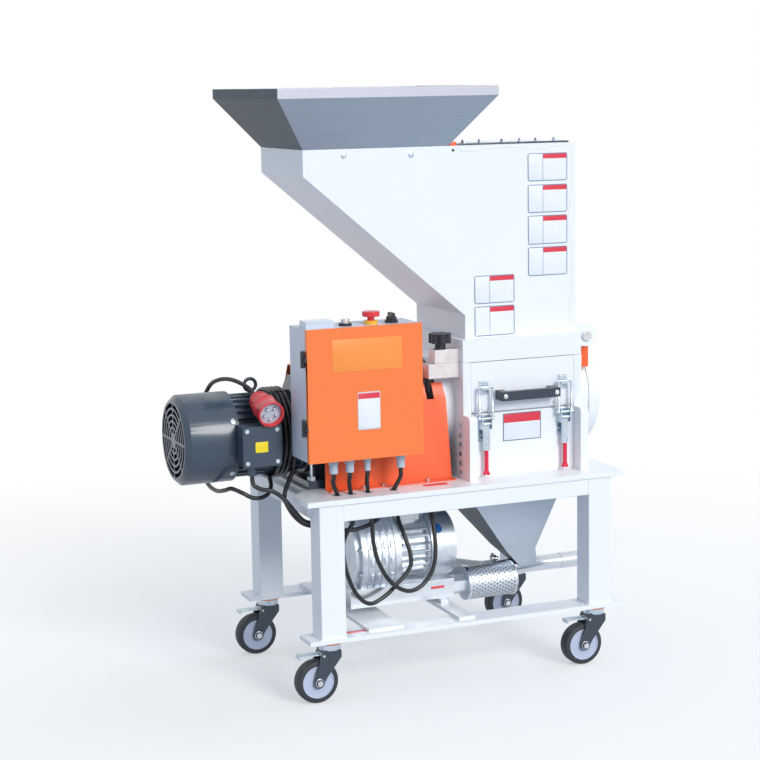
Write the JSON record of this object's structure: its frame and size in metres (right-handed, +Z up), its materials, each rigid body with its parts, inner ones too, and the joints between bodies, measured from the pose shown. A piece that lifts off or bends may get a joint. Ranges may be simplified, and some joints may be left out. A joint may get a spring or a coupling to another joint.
{
  "type": "plastic granulator",
  "caption": "Castored beside-the-press granulator: tilting feed hopper, cutting chamber with a latched front door, geared motor drive, control box, blower and discharge pipe.",
  "frame": {"origin": "on the floor under the middle of the whole machine's outline, its cord left out", "axes": "+X along the frame from the motor to the discharge end, +Y from the operator's front to the rear, +Z up"},
  "size_m": [1.062, 0.495, 1.381],
  "materials": {
    "white_paint": "semi-gloss powder coat",
    "orange_paint": "semi-gloss powder coat",
    "box_paint": "fine texture powder coat",
    "motor_paint": "semi-gloss enamel",
    "chute_paint": "semi-gloss powder coat",
    "zinc": "zinc plated",
    "tool_steel": "ground",
    "dark_steel": "oiled",
    "stainless": "brushed",
    "cast_alloy": "cast",
    "black_plastic": "satin",
    "grey_plastic": "satin",
    "red_plastic": "gloss",
    "black_cable": "satin",
    "hose_rubber": "matte",
    "caster_tyre": "matte"
  },
  "bodies": {
    "frame": {"lower_rails": "white_paint", "upper_frame": "white_paint", "table_plate": "white_paint", "fasteners": "zinc", "side_plates": "white_paint", "lower_front_panel": "white_paint", "rear_wall": "white_paint", "bearing_units": "white_paint", "fixed_knives": "tool_steel", "screen": "stainless", "latch_bases": "zinc", "hinge_lugs": "orange_paint", "clamp_lower_block": "zinc", "drive_guard": "orange_paint", "gearbox_housing": "motor_paint", "motor_housing": "motor_paint", "fan_cowl": "motor_paint", "terminal_box": "motor_paint", "control_box": "box_paint", "switchgear": "black_plastic", "cable_glands": "grey_plastic", "control_cables": "black_cable", "blower_casing": "cast_alloy", "blower_motor": "cast_alloy", "intake_filter": "stainless", "air_hose": "hose_rubber", "discharge_chute": "chute_paint", "conveying_pipe": "stainless", "mains_cord": "black_cable", "mains_coil": "black_cable", "mains_plug": "red_plastic"},
    "hopper": {"hopper_body": "white_paint", "feed_funnel": "stainless"},
    "clamp_knob": {"star_knob": "black_plastic"},
    "front_door": {"front_door": "white_paint", "door_fittings": "black_plastic"},
    "latch_levers": {"latch_levers": "zinc"},
    "latch_bows": {"latch_bows": "zinc"},
    "control_door": {"control_door": "orange_paint"},
    "stop_button": {"stop_button": "red_plastic"},
    "start_button": {"start_button": "zinc"},
    "selector_switch": {"selector_switch": "black_plastic"},
    "rotor": {"rotor_shaft": "dark_steel", "rotor_knives": "tool_steel", "output_gear": "dark_steel"},
    "countershaft": {"countershaft": "dark_steel"},
    "motor_rotor": {"motor_rotor": "dark_steel"},
    "blower_rotor": {"blower_rotor": "dark_steel"},
    "caster_fl": {"caster_fork_fl": "motor_paint"},
    "wheel_fl": {"wheel_fl": "caster_tyre"},
    "brake_pedal_fl": {"brake_pedal_fl": "black_plastic"},
    "caster_fr": {"caster_fork_fr": "motor_paint"},
    "wheel_fr": {"wheel_fr": "caster_tyre"},
    "brake_pedal_fr": {"brake_pedal_fr": "black_plastic"},
    "caster_rl": {"caster_fork_rl": "motor_paint"},
    "wheel_rl": {"wheel_rl": "caster_tyre"},
    "brake_pedal_rl": {"brake_pedal_rl": "black_plastic"},
    "caster_rr": {"caster_fork_rr": "motor_paint"},
    "wheel_rr": {"wheel_rr": "caster_tyre"},
    "brake_pedal_rr": {"brake_pedal_rr": "black_plastic"}
  },
  "joints": [
    {"name": "hopper_tilt", "type": "hinge", "parent": "frame", "child": "hopper", "pos_m": [0.459, 0.0025, 0.785], "axis": [0, 1, 0], "range_deg": [0, 90]},
    {"name": "clamp_knob_turn", "type": "hinge", "parent": "hopper", "child": "clamp_knob", "pos_m": [0.079, -0.1295, 0.79], "axis": [0, 0, 1], "range_deg": [0, 1080]},
    {"name": "front_door_tip", "type": "hinge", "parent": "frame", "child": "front_door", "pos_m": [0.276, -0.1535, 0.633], "axis": [1, 0, 0], "range_deg": [0, 75]},
    {"name": "latch_bow_swing", "type": "hinge", "parent": "frame", "child": "latch_bows", "pos_m": [0.276, -0.1775, 0.613], "axis": [1, 0, 0], "range_deg": [0, 75]},
    {"name": "latch_lever_swing", "type": "hinge", "parent": "frame", "child": "latch_levers", "pos_m": [0.276, -0.1775, 0.6], "axis": [-1, 0, 0], "range_deg": [0, 100]},
    {"name": "control_door_swing", "type": "hinge", "parent": "frame", "child": "control_door", "pos_m": [-0.301, -0.2355, 0.708], "axis": [0, 0, -1], "range_deg": [0, 110]},
    {"name": "stop_button_push", "type": "slide", "parent": "frame", "child": "stop_button", "axis": [0, 0, -1], "range_m": [0, 0.006]},
    {"name": "start_button_push", "type": "slide", "parent": "frame", "child": "start_button", "axis": [0, 0, -1], "range_m": [0, 0.003], "stiffness_N_per_m": 400, "springref_m": -0.002},
    {"name": "selector_turn", "type": "hinge", "parent": "frame", "child": "selector_switch", "pos_m": [-0.074, -0.2025, 0.87], "axis": [0, 0, 1], "range_deg": [-45, 45]},
    {"name": "rotor_spin", "type": "hinge", "parent": "frame", "child": "rotor", "pos_m": [0.276, 0.0025, 0.632], "axis": [1, 0, 0], "continuous": true},
    {"name": "countershaft_spin", "type": "hinge", "parent": "frame", "child": "countershaft", "pos_m": [-0.097, 0.06632, 0.58715], "axis": [1, 0, 0], "continuous": true},
    {"name": "motor_spin", "type": "hinge", "parent": "frame", "child": "motor_rotor", "pos_m": [-0.324, 0.0025, 0.592], "axis": [1, 0, 0], "continuous": true},
    {"name": "blower_spin", "type": "hinge", "parent": "frame", "child": "blower_rotor", "pos_m": [0.001, 0.0025, 0.285], "axis": [1, 0, 0], "continuous": true},
    {"name": "swivel_fl", "type": "hinge", "parent": "frame", "child": "caster_fl", "pos_m": [-0.24, -0.2075, 0.12], "axis": [0, 0, 1], "continuous": true},
    {"name": "wheel_spin_fl", "type": "hinge", "parent": "caster_fl", "child": "wheel_fl", "pos_m": [-0.275, -0.2075, 0.05], "axis": [0, 1, 0], "continuous": true},
    {"name": "pedal_fl", "type": "hinge", "parent": "caster_fl", "child": "brake_pedal_fl", "pos_m": [-0.262, -0.2075, 0.111], "axis": [0, -1, 0], "range_deg": [0, 12]},
    {"name": "swivel_fr", "type": "hinge", "parent": "frame", "child": "caster_fr", "pos_m": [0.442, -0.2075, 0.12], "axis": [0, 0, 1], "continuous": true},
    {"name": "wheel_spin_fr", "type": "hinge", "parent": "caster_fr", "child": "wheel_fr", "pos_m": [0.407, -0.2075, 0.05], "axis": [0, 1, 0], "continuous": true},
    {"name": "pedal_fr", "type": "hinge", "parent": "caster_fr", "child": "brake_pedal_fr", "pos_m": [0.42, -0.2075, 0.111], "axis": [0, -1, 0], "range_deg": [0, 12]},
    {"name": "swivel_rl", "type": "hinge", "parent": "frame", "child": "caster_rl", "pos_m": [-0.24, 0.2125, 0.12], "axis": [0, 0, 1], "continuous": true},
    {"name": "wheel_spin_rl", "type": "hinge", "parent": "caster_rl", "child": "wheel_rl", "pos_m": [-0.275, 0.2125, 0.05], "axis": [0, 1, 0], "continuous": true},
    {"name": "pedal_rl", "type": "hinge", "parent": "caster_rl", "child": "brake_pedal_rl", "pos_m": [-0.262, 0.2125, 0.111], "axis": [0, -1, 0], "range_deg": [0, 12]},
    {"name": "swivel_rr", "type": "hinge", "parent": "frame", "child": "caster_rr", "pos_m": [0.442, 0.2125, 0.12], "axis": [0, 0, 1], "continuous": true},
    {"name": "wheel_spin_rr", "type": "hinge", "parent": "caster_rr", "child": "wheel_rr", "pos_m": [0.407, 0.2125, 0.05], "axis": [0, 1, 0], "continuous": true},
    {"name": "pedal_rr", "type": "hinge", "parent": "caster_rr", "child": "brake_pedal_rr", "pos_m": [0.42, 0.2125, 0.111], "axis": [0, -1, 0], "range_deg": [0, 12]}
  ],
  "couplings": [
    {"joint": "latch_bow_swing", "follows": "front_door_tip", "ratio": 1},
    {"joint": "latch_lever_swing", "follows": "front_door_tip", "ratio": 1.3333},
    {"joint": "countershaft_spin", "follows": "rotor_spin", "ratio": -3.3333},
    {"joint": "motor_spin", "follows": "rotor_spin", "ratio": 11.905}
  ]
}
